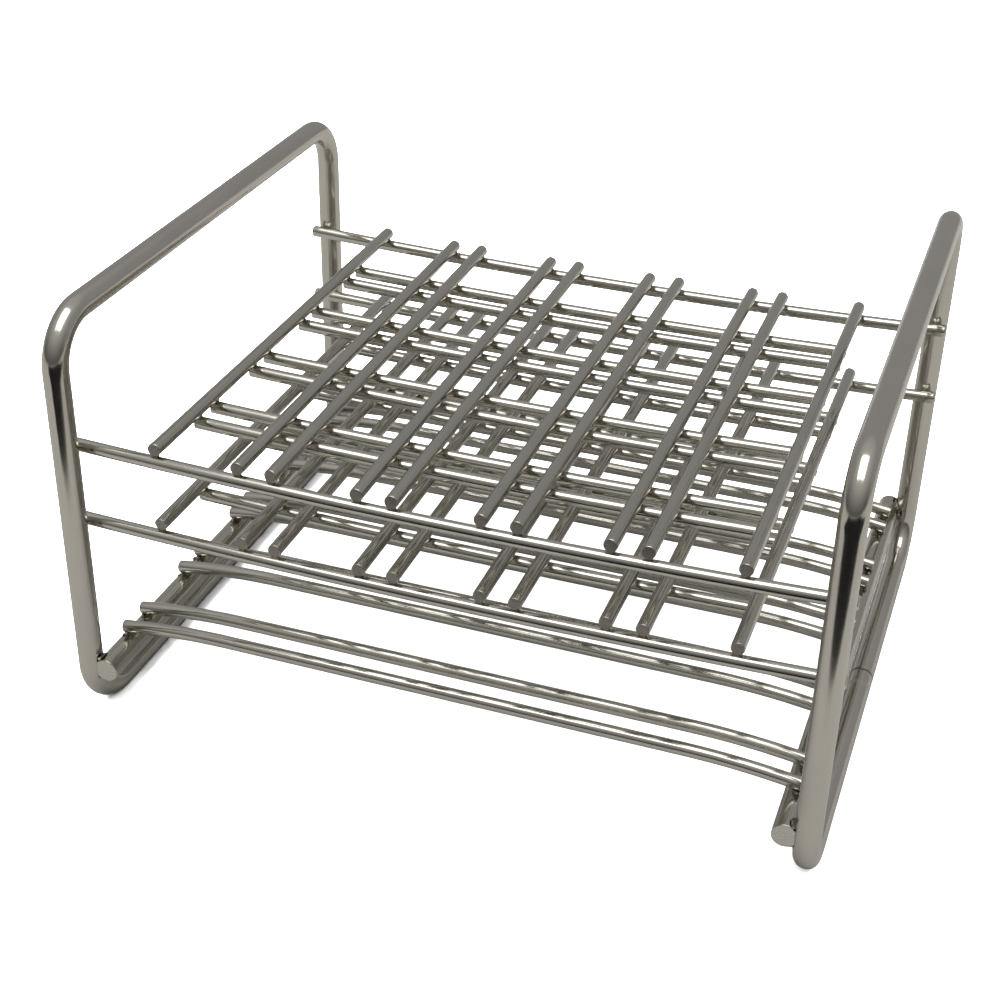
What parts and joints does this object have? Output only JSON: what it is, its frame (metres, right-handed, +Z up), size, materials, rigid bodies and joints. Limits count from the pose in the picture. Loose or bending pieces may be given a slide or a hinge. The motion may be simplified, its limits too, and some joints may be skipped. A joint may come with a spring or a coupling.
{
  "type": "test tube rack",
  "caption": "Welded steel wire test tube rack: two round-cornered end hoops that serve as feet and handles, two gridded tiers that hold the tubes upright, and base wires they stand on.",
  "frame": {"origin": "on the surface the rack stands on, under the middle of the rack", "axes": "+Z up, X from the left hoop to the right hoop, Y from front to back"},
  "size_m": [0.1864, 0.1548, 0.1106],
  "materials": {
    "hoop_steel": "polished 6.2 mm round rod, bright, with fine drawing lines",
    "base_rod_steel": "polished 6.2 mm round rod, bright, heat-tinted near its welds",
    "lengthwise_wire_steel": "polished 3.3 mm round wire, bright",
    "cross_wire_steel": "polished 3.3 mm round wire, bright, with sheared ends",
    "base_wire_steel": "polished 3.3 mm round wire, bright"
  },
  "bodies": {
    "root": {"hoop_left": "hoop_steel", "hoop_right": "hoop_steel", "base_rod_left": "base_rod_steel", "base_rod_right": "base_rod_steel", "upper_tier_long_wire_front": "lengthwise_wire_steel", "upper_tier_short_wire_1": "lengthwise_wire_steel", "upper_tier_short_wire_2": "lengthwise_wire_steel", "upper_tier_short_wire_3": "lengthwise_wire_steel", "upper_tier_short_wire_4": "lengthwise_wire_steel", "upper_tier_short_wire_5": "lengthwise_wire_steel", "upper_tier_short_wire_6": "lengthwise_wire_steel", "upper_tier_short_wire_7": "lengthwise_wire_steel", "upper_tier_short_wire_8": "lengthwise_wire_steel", "upper_tier_long_wire_back": "lengthwise_wire_steel", "upper_tier_cross_wire_1": "cross_wire_steel", "upper_tier_cross_wire_2": "cross_wire_steel", "upper_tier_cross_wire_3": "cross_wire_steel", "upper_tier_cross_wire_4": "cross_wire_steel", "upper_tier_cross_wire_5": "cross_wire_steel", "upper_tier_cross_wire_6": "cross_wire_steel", "upper_tier_cross_wire_7": "cross_wire_steel", "upper_tier_cross_wire_8": "cross_wire_steel", "upper_tier_cross_wire_9": "cross_wire_steel", "upper_tier_cross_wire_10": "cross_wire_steel", "lower_tier_long_wire_front": "lengthwise_wire_steel", "lower_tier_short_wire_1": "lengthwise_wire_steel", "lower_tier_short_wire_2": "lengthwise_wire_steel", "lower_tier_short_wire_3": "lengthwise_wire_steel", "lower_tier_short_wire_4": "lengthwise_wire_steel", "lower_tier_short_wire_5": "lengthwise_wire_steel", "lower_tier_short_wire_6": "lengthwise_wire_steel", "lower_tier_short_wire_7": "lengthwise_wire_steel", "lower_tier_short_wire_8": "lengthwise_wire_steel", "lower_tier_long_wire_back": "lengthwise_wire_steel", "lower_tier_cross_wire_1": "cross_wire_steel", "lower_tier_cross_wire_2": "cross_wire_steel", "lower_tier_cross_wire_3": "cross_wire_steel", "lower_tier_cross_wire_4": "cross_wire_steel", "lower_tier_cross_wire_5": "cross_wire_steel", "lower_tier_cross_wire_6": "cross_wire_steel", "lower_tier_cross_wire_7": "cross_wire_steel", "lower_tier_cross_wire_8": "cross_wire_steel", "lower_tier_cross_wire_9": "cross_wire_steel", "lower_tier_cross_wire_10": "cross_wire_steel", "base_wire_1": "base_wire_steel", "base_wire_2": "base_wire_steel", "base_wire_3": "base_wire_steel", "base_wire_4": "base_wire_steel", "base_wire_5": "base_wire_steel", "base_wire_6": "base_wire_steel", "base_wire_7": "base_wire_steel", "base_wire_8": "base_wire_steel", "base_wire_9": "base_wire_steel", "base_wire_10": "base_wire_steel"}
  },
  "joints": []
}
